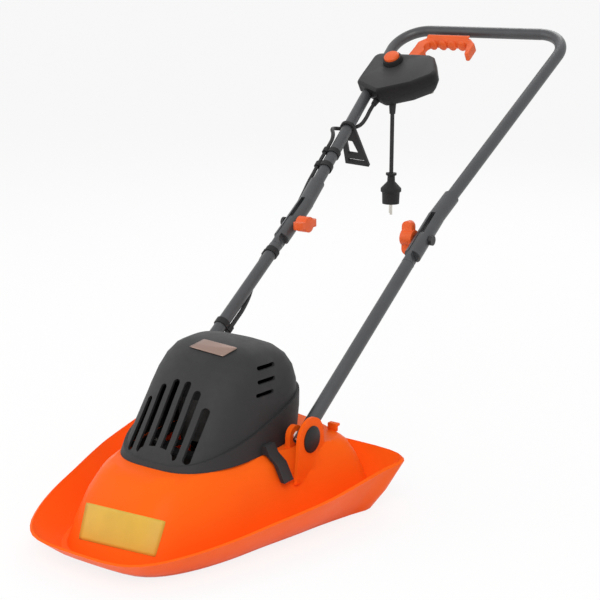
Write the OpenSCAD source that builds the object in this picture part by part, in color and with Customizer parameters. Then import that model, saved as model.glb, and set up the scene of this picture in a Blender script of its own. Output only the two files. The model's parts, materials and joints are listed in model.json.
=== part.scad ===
// Electric hover mower with a folding two-part handle, in millimetres.
// The blade axis is the Z axis, the ground is z = 0, the front faces -Y.

/* [Hood] */
// Half the width of the hood across its rear corners
hood_half_w = 226; // [215:1:240]
// Reach of the hood in front of the blade axis
hood_front = 286; // [270:1:300]
// Reach of the hood behind the blade axis
hood_rear = 181; // [172:1:195]
// Height of the turned-up rim at the front
rim_front_z = 36; // [32:1:42]
// Height of the turned-up rim at the rear corners
rim_rear_z = 77; // [70:1:85]
// Height of the flat top that carries the motor
hood_top_z = 104; // [102:1:108]
// Wall of the moulded hood
hood_wall = 3.2; // [2.6:0.1:4]
// Radius of the air opening under the motor
intake_r = 70; // [64:1:74]

/* [Motor cover] */
// Height of the cover above the hood
cover_h = 144; // [136:1:154]
// Reach of the cover in front of the blade axis
cover_front = 135; // [128:1:140]
// Reach of the cover behind the blade axis
cover_rear = 118; // [112:1:120]
// Half the width of the cover
cover_half_w = 95; // [90:0.5:96]
// Wall of the moulded cover
cover_wall = 3; // [2.4:0.1:3.6]
// Number of upright vent slots in the front
vent_count = 6; // [4:1:8]
// Width of one front vent slot
vent_w = 11; // [8:0.5:12]

/* [Handle] */
// Slope of the handle above the ground at rest
handle_slope = 34; // [30:1:40]
// Outside diameter of the handle tubes
tube_d = 20; // [18:0.5:21]
// Wall of the handle tubes
tube_wall = 1; // [0.8:0.1:1.5]
// Distance of each lower tube from the middle plane
pivot_x = 123; // [121:0.5:125]
// Position of the handle pivot behind the blade axis
pivot_y = 48; // [44:1:52]
// Height of the handle pivot
pivot_z = 118; // [116:1:124]
// Length from the pivot to the folding joint
lower_len = 405; // [390:1:420]
// Length from the folding joint to the middle of the crossbar
upper_len = 533; // [520:1:545]
// Half the width of the upper handle at the virtual corners
bar_half_w = 171; // [163:1:179]
// Bend radius of the upper handle
bend_r = 55; // [45:1:65]

/* [Switch box] */
// Height of the switch box across its two shells
box_h = 46; // [42:1:52]
// Travel of the lock button
button_travel = 4; // [3:0.5:5]
// Diameter of the lock button
button_d = 28; // [24:1:30]

/* [Cutting system] */
// Length of the blade
blade_len = 250; // [220:1:252]
// Width of the blade
blade_w = 44; // [36:1:52]
// Thickness of the blade
blade_t = 3; // [2:0.5:4]
// Radius of the impeller
impeller_r = 104; // [90:1:106]
// Number of impeller vanes
vane_count = 9; // [6:1:12]
// Diameter of the motor shaft
shaft_d = 8; // [7:0.5:9]

/* [Hidden] */
$fn = 64;

// Clearances and the overrun that serves every cut
cut = 1;
gap = 0.3;
run = 0.05;
fit = 0.1;

// Colours of the finishes
orange = "orangered";
black = "dimgray";
dark = "darkslategray";
steel = "silver";
copper = "peru";

// Smooth closed outline of the rim: shares of half width and of the front or rear reach
rim_shares = [[0, -1], [0.30, -0.985], [0.47, -0.90], [0.60, -0.74], [0.70, -0.55],
    [0.78, -0.34], [0.85, -0.16], [0.905, 0.02], [0.945, 0.36], [0.975, 0.64],
    [1, 0.86], [0.86, 0.97], [0.45, 1], [0, 1]];
rim_steps = 3;
function rim_control(k) = let (p = rim_shares[k])
    [p[0] * hood_half_w, p[1] * (p[1] < 0 ? hood_front : hood_rear)];
function flip(p) = [-p[0], p[1]];
last_control = len(rim_shares) - 1;
function rim_at(k) = k < 0 ? flip(rim_control(-k))
    : k > last_control ? flip(rim_control(2 * last_control - k)) : rim_control(k);
// Point of a smooth curve through four neighbours, t from 0 to 1 between the middle two
function smooth(a, b, c, d, t) = let (t2 = t * t, t3 = t2 * t)
    (2 * b + (c - a) * t + (2 * a - 5 * b + 4 * c - d) * t2 + (3 * b - a - 3 * c + d) * t3) / 2;
half_rim = [for (k = [0 : last_control - 1], j = [0 : rim_steps - 1])
    smooth(rim_at(k - 1), rim_at(k), rim_at(k + 1), rim_at(k + 2), j / rim_steps)];
half_count = len(half_rim);
rim = concat(half_rim, [rim_control(last_control)],
    [for (i = [half_count - 1 : -1 : 1]) flip(half_rim[i])]);

// Loft through rings of equal point count, closed at both ends or joined into a loop
function quad_faces(m, n, loop) = [for (k = [0 : (loop ? m - 1 : m - 2)], i = [0 : n - 1])
    let (a = k * n, b = ((k + 1) % m) * n, j = (i + 1) % n)
    each [[a + i, b + j, a + j], [a + i, b + i, b + j]]];
module loft(rings, loop = false) {
    m = len(rings);
    n = len(rings[0]);
    ends = loop ? [] : [[for (i = [0 : n - 1]) i], [for (i = [n - 1 : -1 : 0]) (m - 1) * n + i]];
    polyhedron([for (r = rings) each r], concat(quad_faces(m, n, loop), ends), convexity = 10);
}

// Tube swept along a route with a round section of few sides
tube_sides = 8;
function unit(v) = v / norm(v);
function heading(pts, i) = unit(pts[min(i + 1, len(pts) - 1)] - pts[max(i - 1, 0)]);
// Each ring's side vector is carried on from the one before, so the tube does not twist
function carried(pts, i, side) = let (h = heading(pts, i), s = unit(side - (side * h) * h))
    i == len(pts) - 1 ? [s] : concat([s], carried(pts, i + 1, s));
module swept_tube(pts, r) {
    first = heading(pts, 0);
    across = abs(first[2]) > 0.9 ? [1, 0, 0] : [0, 0, 1];
    sides = carried(pts, 0, cross(first, across));
    loft([for (i = [0 : len(pts) - 1]) let (h = heading(pts, i), s = sides[i], u = cross(h, s))
        [for (a = [0 : tube_sides - 1]) let (q = -a * 360 / tube_sides)
            pts[i] + r * (cos(q) * s + sin(q) * u)]]);
}
// Route with extra points on a smooth curve between the chosen ones
function eased(pts, steps) = let (n = len(pts) - 1)
    concat([for (k = [0 : n - 1], j = [0 : steps - 1])
        smooth(pts[max(k - 1, 0)], pts[k], pts[k + 1], pts[min(k + 2, n)], j / steps)], [pts[n]]);

// Outline of straight sides with round corners
corner_steps = 4;
function corner(a, b, c, r) = let (u = unit(a - b), v = unit(c - b), bis = unit(u + v),
    half = acos(u * bis), mid = b + bis * (r / sin(half)), turn = 90 - half,
    side = cross([u[0], u[1], 0], [v[0], v[1], 0])[2] > 0 ? 1 : -1,
    start = atan2(-bis[1], -bis[0]))
    [for (k = [0 : corner_steps]) let (q = start + side * turn * (1 - 2 * k / corner_steps))
        mid + r * [cos(q), sin(q)]];
function rounded(pts, r) = let (n = len(pts))
    [for (i = [0 : n - 1]) each corner(pts[(i + n - 1) % n], pts[i], pts[(i + 1) % n], r)];

// Both sides of the machine from one half
module both_sides() {
    children();
    mirror([1, 0, 0]) children();
}
// Frame of the handle: X across, Y up the handle, Z square to it, origin at the folding joint
joint_y = pivot_y + lower_len * cos(handle_slope);
joint_z = pivot_z + lower_len * sin(handle_slope);
module on_handle() {
    translate([0, joint_y, joint_z]) rotate([handle_slope, 0, 0]) children();
}
// Frame at a pivot on one side, with Z along +X
module along_x(x, y, z) {
    translate([x, y, z]) rotate([90, 0, 90]) children();
}

// Hood
// Height of the rim, which rises evenly from the front to the rear
function rim_z(p) = rim_front_z
    + (rim_rear_z - rim_front_z) * (p[1] + hood_front) / (hood_front + hood_rear);
// Sheet profile: shares of the rim outline at the side, front and rear, share of the rim height,
// share of the top height, and share of the top height at the rear
skin_shares = [[0.988, 0.988, 0.985, 1, 0, 0.74], [0.885, 0.922, 0.982, 0.42, 0.012, 0.755],
    [0.775, 0.855, 0.979, 0, 0.035, 0.77], [0.735, 0.825, 0.976, 0, 0.037, 0.80],
    [0.685, 0.78, 0.970, 0, 0.33, 0.86], [0.625, 0.71, 0.962, 0, 0.67, 0.93],
    [0.565, 0.635, 0.95, 0, 0.90, 0.985], [0.50, 0.565, 0.93, 0, 1, 1]];
under_shares = [[0.488, 0.555, 0.915, 0, 0.969, 0.969], [0.549, 0.623, 0.932, 0, 0.872, 0.93],
    [0.608, 0.697, 0.944, 0, 0.655, 0.70], [0.668, 0.767, 0.950, 0, 0.325, 0.40],
    [0.72, 0.815, 0.953, 0, 0, 0], [0.757, 0.836, 0.972, 0, 0, 0],
    [0.872, 0.912, 0.982, 0.37, 0, 0.30], [1, 1, 1, 0.96, 0, 0.70]];
function hood_point(p, s) = let (c = p[1] / norm(p), w = c * c, rear = c > 0 ? w : 0,
    k = s[0] * (1 - w) + (c < 0 ? s[1] : s[2]) * w, z = s[3] * rim_z(p) + s[4] * hood_top_z)
    [k * p[0], k * p[1], z * (1 - rear) + s[5] * hood_top_z * rear];
intake_ring = [for (p = rim) let (q = unit(p)) [intake_r * q[0], intake_r * q[1], 0]];
function lifted(ring, z) = [for (p = ring) [p[0], p[1], z]];
lug_t = 5;
lug_r = 31;
lug_foot = 12;
lug_side_gap = 0.6;
lug_x = pivot_x + tube_d / 2 + lug_side_gap;
ear_t = 8;
ear_r = 15;
ear_x = pivot_x - tube_d / 2 - lug_side_gap - ear_t;
ear_foot_z = hood_top_z - 3 * hood_wall;
bolt_d = 8;
screw_d = 4;
screw_count = 4;
plate_screw_r = intake_r + screw_d * 2;
module upright(x, t, r, foot, foot_z) {
    along_x(x, 0, 0) linear_extrude(t) {
        translate([pivot_y, pivot_z]) circle(r);
        polygon([[pivot_y - r - foot / 2, foot_z], [pivot_y + r + foot / 2, foot_z],
            [pivot_y + r, pivot_z], [pivot_y - r, pivot_z]]);
    }
}
// Share of the top height at which the lugs leave the dome
lug_base_share = 0.60;
lug_base_z = hood_top_z * lug_base_share;
module hood() {
    color(orange) difference() {
        union() {
            loft(concat([for (s = skin_shares) [for (p = rim) hood_point(p, s)]],
                [lifted(intake_ring, hood_top_z), lifted(intake_ring, hood_top_z - hood_wall)],
                [for (s = under_shares) [for (p = rim) hood_point(p, s)]]), true);
            both_sides() upright(lug_x, lug_t, lug_r, lug_foot, lug_base_z);
            both_sides() upright(ear_x, ear_t, ear_r, 0, ear_foot_z);
        }
        both_sides() along_x(ear_x - cut, pivot_y, pivot_z)
            cylinder(d = bolt_d + 2 * fit, h = lug_x + lug_t - ear_x + 2 * cut);
        plate_holes(hood_top_z - hood_wall - cut, hood_wall + 2 * cut);
        cover_seats() translate([0, 0, -2 * hood_wall])
            cylinder(d = screw_d + 2 * fit, h = 3 * hood_wall);
    }
}
module plate_holes(z, h) {
    for (k = [0 : screw_count - 1]) rotate(45 + k * 360 / screw_count)
        translate([plate_screw_r, 0, z]) cylinder(d = screw_d + 2 * fit, h = h);
}

// Motor cover
cover_z = hood_top_z + gap;
// Shares up the cover: height, front reach, rear reach, half width, narrowing to the front
cover_shares = [[0, 1, 1, 1, 0.17], [0.12, 0.915, 1.03, 0.99, 0.18], [0.26, 0.80, 1.05, 0.985, 0.20],
    [0.41, 0.685, 1.05, 0.975, 0.24], [0.56, 0.575, 1.02, 0.96, 0.29], [0.70, 0.465, 0.95, 0.93, 0.35],
    [0.82, 0.35, 0.84, 0.86, 0.41], [0.91, 0.23, 0.70, 0.74, 0.46], [0.97, 0.11, 0.53, 0.55, 0.50],
    [1, -0.03, 0.32, 0.22, 0.50]];
cover_points = 56;
cover_power_share = 0.58;
function power(v, p) = sign(v) * pow(abs(v), p);
function cover_ring(s, inset) = let (front = s[1] * cover_front - inset,
    rear = s[2] * cover_rear - inset, half = (front + rear) / 2, mid = (rear - front) / 2,
    w = s[3] * cover_half_w - inset, z = cover_z + s[0] * cover_h - (s[0] > 0 ? inset : 0))
    [for (i = [0 : cover_points - 1]) let (a = -i * 360 / cover_points,
        y = power(cos(a), cover_power_share), ahead = max(-y, 0))
        [w * power(sin(a), cover_power_share) * (1 - s[4] * ahead * ahead),
            mid + half * y, z]];
vent_pitch = 19.5;
vent_foot = 12;
vent_foot_z = cover_z + vent_foot;
vent_len = 112;
vent_drop = 5;
vent_lean = 31;
vent_deep = 46;
vent_front_share = 0.93;
vent_y = -cover_front * vent_front_share;
louvre_len = 36;
louvre_w = 6;
louvre_count = 3;
louvre_pitch = 17;
louvre_rise = 82;
louvre_z = cover_z + louvre_rise;
louvre_y = 6;
louvre_step = 7;
module vent(k) {
    off = k - (vent_count - 1) / 2;
    tall = vent_len - vent_drop * off * off;
    translate([off * vent_pitch, vent_y, vent_foot_z]) rotate([-vent_lean, 0, 0])
        hull() for (z = [vent_w / 2, tall - vent_w / 2]) translate([0, vent_deep / 2, z])
            rotate([90, 0, 0]) cylinder(d = vent_w, h = vent_deep, center = true, $fn = 16);
}
module louvre(k) {
    translate([cover_half_w, louvre_y + louvre_step * k, louvre_z + louvre_pitch * k])
        hull() for (y = [-1, 1]) translate([0, y * (louvre_len - louvre_w) / 2, 0])
            rotate([0, 90, 0]) cylinder(d = louvre_w, h = cover_half_w / 2, center = true, $fn = 12);
}
cover_foot_r = 8;
cover_foot_t = 4;
// Shares of the cover's half width and of its front reach where the screws stand
cover_screw_shares = [[0.76, -0.62], [0.885, 0.36]];
module cover_seats() {
    both_sides() for (q = cover_screw_shares)
        translate([q[0] * cover_half_w, q[1] * cover_front, cover_z - cut]) children();
}
module cover_screws() {
    color(steel) cover_seats() translate([0, 0, cut - gap - 2 * hood_wall]) mirror([0, 0, 1])
        screw(cover_foot_t + hood_wall);
}
// Skirt round the lower cover, thicker than the crown, under a crease that falls to the front
skirt_step = 3;
crease_rear = 69;
crease_slope = 14;
module crease_half_space() {
    translate([0, cover_rear, cover_z + crease_rear]) rotate([crease_slope, 0, 0])
        translate([-2 * cover_half_w, -4 * cover_front, -2 * cover_h])
            cube([4 * cover_half_w, 8 * cover_front, 2 * cover_h]);
}
// Leg on each side that follows the dome down in front of the handle lug
leg_gap = 2;
leg_t = 6;
leg_w = 22;
leg_y = 8;
leg_rows = [7, 6, 5];
leg_root = 12;
hood_side_x = rim_control(7)[0];
leg_line = [for (k = leg_rows) let (s = skin_shares[k])
    [s[0] * hood_side_x + leg_gap, s[4] * hood_top_z + leg_gap]];
leg_profile = concat([[leg_line[0][0] - leg_root, leg_line[0][1]]], leg_line,
    [for (k = [len(leg_line) - 1 : -1 : 0]) leg_line[k] + [leg_t, 0]],
    [leg_line[0] + [0, leg_root], leg_line[0] + [-leg_root, leg_root]]);
module cover_leg() {
    translate([0, leg_y, 0]) rotate([90, 0, 0]) linear_extrude(leg_w) polygon(leg_profile);
}
module motor_cover() {
    inner = [for (s = cover_shares) cover_ring(s, cover_wall)];
    color(black) difference() {
        union() {
            loft([for (s = cover_shares) cover_ring(s, 0)]);
            intersection() {
                loft([for (s = cover_shares) cover_ring(s, -skirt_step)]);
                crease_half_space();
                translate([-2 * cover_half_w, -2 * cover_front, cover_z])
                    cube([4 * cover_half_w, 4 * cover_front, cover_h]);
            }
            both_sides() cover_leg();
        }
        loft(concat([lifted(inner[0], cover_z - cut)], inner));
        for (k = [0 : vent_count - 1]) vent(k);
        both_sides() for (k = [0 : louvre_count - 1]) louvre(k);
        at_gland() cylinder(r = gland_r + fit, h = gland_l);
        cover_seats() cylinder(d = screw_d + 2 * fit, h = cover_foot_t + 2 * cut);
    }
    color(black) difference() {
        cover_seats() translate([0, 0, cut]) cylinder(r = cover_foot_r, h = cover_foot_t);
        cover_seats() cylinder(d = screw_d + 2 * fit, h = cover_foot_t + 2 * cut);
    }
}

// Motor, from the plate over the intake upwards
plate_t = 4;
plate_rim = 14;
plate_z = hood_top_z + gap;
plate_top_z = plate_z + plate_t;
bearing_d = 22;
bearing_t = 7;
boss_wall = 4;
boss_r = bearing_d / 2 + boss_wall;
stator_r = 46;
stator_bore_r = 26.3;
stator_h = 60;
pillar_h = 7;
stator_z = plate_top_z + pillar_h;
pillar_d = 9;
pillar_r = stator_r - pillar_d / 2;
window_count = 6;
window_rim = 4.5;
window_in_r = boss_r + window_rim;
window_out_r = intake_r - window_rim;
window_angle = 46;
module motor_plate() {
    color(dark) difference() {
        union() {
            translate([0, 0, plate_z]) cylinder(r = intake_r + plate_rim, h = plate_t);
            translate([0, 0, plate_top_z - bearing_t - plate_t])
                cylinder(r = boss_r, h = bearing_t + plate_t);
            for (k = [0 : window_count - 1]) rotate(k * 360 / window_count)
                translate([pillar_r, 0, plate_top_z]) cylinder(d = pillar_d, h = stator_z - plate_top_z);
        }
        translate([0, 0, plate_top_z - bearing_t]) cylinder(d = bearing_d, h = bearing_t + cut);
        translate([0, 0, plate_z - bearing_t - cut]) cylinder(d = shaft_d + 2 * cut, h = 2 * bearing_t);
        for (k = [0 : window_count - 1]) rotate((k + 0.5) * 360 / window_count - window_angle / 2)
            translate([0, 0, plate_z - cut]) rotate_extrude(angle = window_angle)
                translate([window_in_r, 0]) square([window_out_r - window_in_r, plate_t + 2 * cut]);
        plate_holes(plate_z - cut, plate_t + 2 * cut);
    }
}
screw_head_d = 8;
screw_head_t = 3;
module screw(length) {
    cylinder(d = screw_head_d, h = screw_head_t);
    translate([0, 0, -length]) cylinder(d = screw_d, h = length + cut);
}
screw_end = 3;
plate_screw_len = plate_t + hood_wall + screw_end;
module plate_screws() {
    color(steel) for (k = [0 : screw_count - 1]) rotate(45 + k * 360 / screw_count)
        translate([plate_screw_r, 0, plate_top_z]) screw(plate_screw_len);
}
pole_gap_angle = 60;
pole_face = 2;
stator_back = 7;
coil_in_r = stator_bore_r + pole_face;
coil_out_r = stator_r - stator_back;
module stator() {
    color(steel) translate([0, 0, stator_z]) difference() {
        cylinder(r = stator_r, h = stator_h);
        translate([0, 0, -cut]) cylinder(r = stator_bore_r, h = stator_h + 2 * cut);
        for (a = [0, 180]) rotate(a - pole_gap_angle / 2) translate([0, 0, -cut])
            rotate_extrude(angle = pole_gap_angle) translate([coil_in_r - gap, 0])
                square([coil_out_r - coil_in_r + 2 * gap, stator_h + 2 * cut]);
    }
}
coil_trim_angle = 4;
module field_coils() {
    angle = pole_gap_angle - coil_trim_angle;
    color(copper) for (a = [0, 180]) rotate(a - angle / 2)
        translate([0, 0, stator_z + gap]) rotate_extrude(angle = angle)
            translate([coil_in_r, 0]) square([coil_out_r - coil_in_r, stator_h - 2 * gap]);
}
bracket_z = stator_z + stator_h;
bracket_h = 30;
bracket_wall = 4;
brush_rise = 12;
brush_z = bracket_z + brush_rise;
brush_size = 7;
commutator_r = 13;
holder_wall = 2.5;
holder_size = brush_size + 2 * holder_wall;
module upper_bracket() {
    color(dark) translate([0, 0, bracket_z]) difference() {
        union() {
            difference() {
                cylinder(r = stator_r, h = bracket_h);
                translate([0, 0, -cut])
                    cylinder(r = stator_r - bracket_wall, h = bracket_h - bracket_wall + cut);
                for (a = [45 : 90 : 315]) rotate(a) translate([stator_r, 0, bracket_h / 2 - bracket_wall])
                    cube([stator_r, stator_r / 2, bracket_h / 2], center = true);
            }
            translate([0, 0, bracket_h - bearing_t - bracket_wall / 2])
                cylinder(r = boss_r, h = bearing_t);
        }
        translate([0, 0, bracket_h - bearing_t]) cylinder(d = bearing_d, h = bearing_t + cut);
        translate([0, 0, -cut]) cylinder(d = shaft_d + 2 * cut, h = bracket_h + 2 * cut);
    }
}
module bearing(z) {
    color(steel) translate([0, 0, z]) difference() {
        cylinder(d = bearing_d - 2 * run, h = bearing_t);
        translate([0, 0, -cut]) cylinder(d = shaft_d + 2 * run, h = bearing_t + 2 * cut);
    }
}
module lower_bearing() {
    bearing(plate_top_z - bearing_t);
}
module upper_bearing() {
    bearing(bracket_z + bracket_h - bearing_t);
}
holder_gap = 4;
holder_in_r = commutator_r + holder_gap;
holder_out_r = sqrt(pow(stator_r - bracket_wall, 2) - pow(holder_size / 2, 2)) - fit;
module brush_holders() {
    color(copper) for (a = [0, 180]) rotate(a) translate([holder_in_r, 0, brush_z]) difference() {
        translate([0, -holder_size / 2, -holder_size / 2])
            cube([holder_out_r - holder_in_r, holder_size, holder_size]);
        translate([-cut, -brush_size / 2 - fit, -brush_size / 2 - fit])
            cube([stator_r, brush_size + 2 * fit, brush_size + 2 * fit]);
    }
}
brush_len = 14;
module carbon_brushes() {
    color("black") for (a = [0, 180]) rotate(a)
        translate([commutator_r + gap, -brush_size / 2, brush_z - brush_size / 2])
            cube([brush_len, brush_size, brush_size]);
}
suppressor_d = 14;
suppressor_h = 16;
module suppressor() {
    color("goldenrod") translate([0, boss_r + suppressor_d, bracket_z + bracket_h])
        cylinder(d = suppressor_d, h = suppressor_h);
}

// Rotor: everything that turns with the shaft
bolt_head_h = 8;
blade_z = 21;
washer_t = 3;
spacer_h = 8;
hub_z = blade_z + blade_t + spacer_h;
hub_h = 48;
hub_r = 16;
disc_z = 44;
disc_t = 3;
vane_h = 30;
vane_t = 2.5;
vane_in_share = 0.42;
vane_sweep = 38;
blade_bolt_d = 6;
blade_bolt_len = 22;
shaft_z = blade_z + blade_t;
shaft_top_z = bracket_z + bracket_h + cut;
module shaft() {
    color(steel) difference() {
        translate([0, 0, shaft_z]) cylinder(d = shaft_d, h = shaft_top_z - shaft_z);
        translate([0, 0, shaft_z - cut]) cylinder(d = blade_bolt_d, h = blade_bolt_len + 2 * cut);
    }
}
winding_r = 21;
air_gap = 0.6;
winding_end = 6;
armature_r = stator_bore_r - air_gap;
armature_z = stator_z + winding_end;
armature_h = stator_h - 2 * winding_end;
module armature() {
    color(copper) difference() {
        union() {
            translate([0, 0, armature_z]) cylinder(r = armature_r, h = armature_h);
            translate([0, 0, stator_z]) cylinder(r = winding_r, h = stator_h);
        }
        translate([0, 0, stator_z - cut]) cylinder(d = shaft_d + 2 * run, h = stator_h + 2 * cut);
    }
}
commutator_h = 14;
module commutator() {
    color(copper) translate([0, 0, brush_z - commutator_h / 2]) difference() {
        cylinder(r = commutator_r, h = commutator_h);
        translate([0, 0, -cut]) cylinder(d = shaft_d + 2 * run, h = commutator_h + 2 * cut);
    }
}
// One vane swept back along an arc, as a band of points
vane_points = 7;
function vane_spot(t, side) = let (r = impeller_r * (vane_in_share + (1 - vane_in_share) * t),
    a = -vane_sweep * t * t)
    [r * cos(a) - side * sin(a) * vane_t / 2, r * sin(a) + side * cos(a) * vane_t / 2];
vane_outline = concat([for (k = [0 : vane_points]) vane_spot(k / vane_points, 1)],
    [for (k = [vane_points : -1 : 0]) vane_spot(k / vane_points, -1)]);
module impeller() {
    color(black) difference() {
        union() {
            translate([0, 0, disc_z]) cylinder(r = impeller_r, h = disc_t);
            translate([0, 0, hub_z]) cylinder(r = hub_r, h = hub_h);
            intersection() {
                for (k = [0 : vane_count - 1]) rotate(k * 360 / vane_count)
                    translate([0, 0, disc_z + disc_t / 2]) linear_extrude(vane_h) polygon(vane_outline);
                translate([0, 0, disc_z]) cylinder(r = impeller_r, h = vane_h + disc_t);
            }
        }
        translate([0, 0, hub_z - cut]) cylinder(d = shaft_d + 2 * run, h = hub_h + 2 * cut);
    }
}
spacer_r = 14;
module blade_spacer() {
    color(black) translate([0, 0, blade_z + blade_t]) difference() {
        cylinder(r = spacer_r, h = spacer_h);
        translate([0, 0, -cut]) cylinder(d = shaft_d + 2 * run, h = spacer_h + 2 * cut);
    }
}
blade_bevel = 10;
// Shares of the half length between which the cutting edge steps in
bevel_shares = [0.45, 0.7];
module blade() {
    l = blade_len / 2;
    w = blade_w / 2;
    color(steel) translate([0, 0, blade_z]) difference() {
        linear_extrude(blade_t) intersection() {
            polygon([[-l, -w], [l * bevel_shares[0], -w], [l * bevel_shares[1], -w + blade_bevel],
                [l, -w + blade_bevel], [l, w], [-l * bevel_shares[0], w],
                [-l * bevel_shares[1], w - blade_bevel], [-l, w - blade_bevel]]);
            circle(l);
        }
        translate([0, 0, -cut]) cylinder(d = blade_bolt_d + 2 * run, h = blade_t + 2 * cut);
    }
}
module blade_washer() {
    color(steel) translate([0, 0, blade_z - washer_t]) difference() {
        cylinder(r = spacer_r, h = washer_t);
        translate([0, 0, -cut]) cylinder(d = blade_bolt_d + 2 * run, h = washer_t + 2 * cut);
    }
}
blade_bolt_head_d = 15;
module blade_bolt() {
    color(steel) {
        translate([0, 0, blade_z - washer_t - bolt_head_h])
            cylinder(d = blade_bolt_head_d, h = bolt_head_h, $fn = 6);
        translate([0, 0, blade_z - washer_t - cut])
            cylinder(d = blade_bolt_d - 2 * run, h = washer_t + blade_t + blade_bolt_len + cut);
    }
}

// Pivot of the handle on the hood
cap_r = 19;
cap_t = 3.5;
cap_top_share = 0.86;
bush_d = 13;
module pivot_bolts() {
    color(steel) both_sides() along_x(ear_x - 2 * cut, pivot_y, pivot_z)
        cylinder(d = bolt_d, h = lug_x + lug_t - ear_x + 2 * cut);
}
module pivot_caps() {
    color("black") both_sides() along_x(lug_x + lug_t, pivot_y, pivot_z) rotate_extrude() polygon(
        [[0, 0], [cap_r, 0], [cap_r, cap_t / 2], [cap_r * cap_top_share, cap_t], [0, cap_t]]);
}
module pivot_bushes() {
    bush_len = lug_x - (ear_x + ear_t) - 2 * gap;
    color("white") both_sides() along_x(ear_x + ear_t + gap, pivot_y, pivot_z) difference() {
        cylinder(d = bush_d, h = bush_len);
        translate([0, 0, -cut]) cylinder(d = bolt_d + 2 * run, h = bush_len + 2 * cut);
    }
}

// Lower tubes: cross-drilled at the pivot, pressed flat at the folding joint
tube_tail = 9;
tongue_t = 7;
tongue_w = 24;
tongue_start = 46;
tube_stop = 54;
swage = 0.6;
joint_bolt_d = 8;
module lower_tube(x) {
    color(black) on_handle() translate([x, 0, 0]) difference() {
        union() {
            difference() {
                translate([0, -tube_stop, 0]) rotate([90, 0, 0])
                    cylinder(d = tube_d, h = lower_len + tube_tail - tube_stop);
                translate([0, -tube_stop - tube_d / 2, 0]) rotate([90, 0, 0])
                    cylinder(d = tube_d - 2 * tube_wall, h = lower_len + tube_tail);
            }
            hull() {
                translate([0, -tube_stop - cut, 0]) rotate([90, 0, 0])
                    cylinder(d = tube_d + swage, h = cut, $fn = 32);
                translate([-tongue_t / 2, -tongue_start, -tongue_w / 2]) cube([tongue_t, cut, tongue_w]);
            }
            translate([-tongue_t / 2, -tongue_start, -tongue_w / 2])
                cube([tongue_t, tongue_start, tongue_w]);
            along_x(-tongue_t / 2, 0, 0) cylinder(d = tongue_w, h = tongue_t);
        }
        along_x(-tongue_t / 2 - cut, 0, 0) cylinder(d = joint_bolt_d + 2 * run, h = tongue_t + 2 * cut);
        along_x(-tube_d, -lower_len, 0) cylinder(d = bush_d + 2 * run, h = 2 * tube_d);
    }
}
module lower_tube_left() {
    lower_tube(pivot_x);
}
module lower_tube_right() {
    lower_tube(-pivot_x);
}

// Upper tube: two legs that spread towards the crossbar
fork_top = 50;
socket_len = 50;
tube_seat = 54;
lean = atan((bar_half_w - pivot_x) / (upper_len - fork_top));
bend_turn = 90 + lean;
bend_reach = bend_r * tan(bend_turn / 2);
leg_len = (upper_len - fork_top) / cos(lean) - bend_reach;
module on_leg() {
    on_handle() translate([pivot_x, fork_top, 0]) rotate([0, 0, -lean]) children();
}
leg_start = tube_seat - fork_top;
// The crossbar is a sleeve, slightly thicker than the bent legs that enter its ends
bar_step = 0.2;
module handle_leg(d, over) {
    translate([0, leg_start - over, 0]) rotate([-90, 0, 0])
        cylinder(d = d, h = leg_len - leg_start + over);
    translate([-bend_r, leg_len, 0]) rotate_extrude(angle = bend_turn)
        translate([bend_r, 0]) circle(d = d);
}
module crossbar(d) {
    half_bar = bar_half_w - bend_reach + cut;
    on_handle() translate([-half_bar, upper_len, 0]) rotate([0, 90, 0])
        cylinder(d = d, h = 2 * half_bar);
}
module upper_tube() {
    bore_d = tube_d - 2 * tube_wall;
    color(black) difference() {
        union() {
            both_sides() on_leg() handle_leg(tube_d, 0);
            crossbar(tube_d + 2 * bar_step);
        }
        both_sides() on_leg() handle_leg(bore_d, cut);
        crossbar(bore_d - 2 * bar_step);
    }
}
// Forked joint that holds a leg and folds over the tongue of the lower tube
fork_d = 27;
fork_foot = 38;
socket_root = 3;
slot_w = tongue_t + 2 * gap;
module joint_fork() {
    on_handle() translate([pivot_x, 0, 0]) difference() {
        union() {
            translate([0, -fork_foot, 0]) rotate([-90, 0, 0])
                cylinder(d = fork_d, h = fork_foot + fork_top);
            translate([0, fork_top, 0]) rotate([0, 0, -lean]) translate([0, -socket_root, 0])
                rotate([-90, 0, 0]) cylinder(d = fork_d - cut, h = socket_len + socket_root);
        }
        translate([-slot_w / 2, -fork_foot - cut, -fork_d])
            cube([slot_w, fork_foot + fork_top, 2 * fork_d]);
        along_x(-fork_d, 0, 0) cylinder(d = joint_bolt_d + 2 * run, h = 2 * fork_d);
        translate([0, fork_top, 0]) rotate([0, 0, -lean]) translate([0, leg_start, 0])
            rotate([-90, 0, 0]) cylinder(d = tube_d + 2 * run, h = socket_len + cut);
    }
}
module joint_left() {
    color("black") joint_fork();
}
module joint_right() {
    color("black") mirror([1, 0, 0]) joint_fork();
}
knob_gap = 1;
knob_hub_l = 20;
joint_head_t = 5;
joint_head_d = 16;
knob_x = pivot_x - fork_d / 2 - knob_gap;
joint_bolt_x = knob_x - knob_hub_l + 3 * cut;
module joint_bolts() {
    color(steel) both_sides() on_handle() {
        along_x(joint_bolt_x, 0, 0)
            cylinder(d = joint_bolt_d, h = pivot_x + fork_d / 2 - joint_bolt_x + cut);
        along_x(pivot_x + fork_d / 2, 0, 0) cylinder(d = joint_head_d, h = joint_head_t);
    }
}
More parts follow.
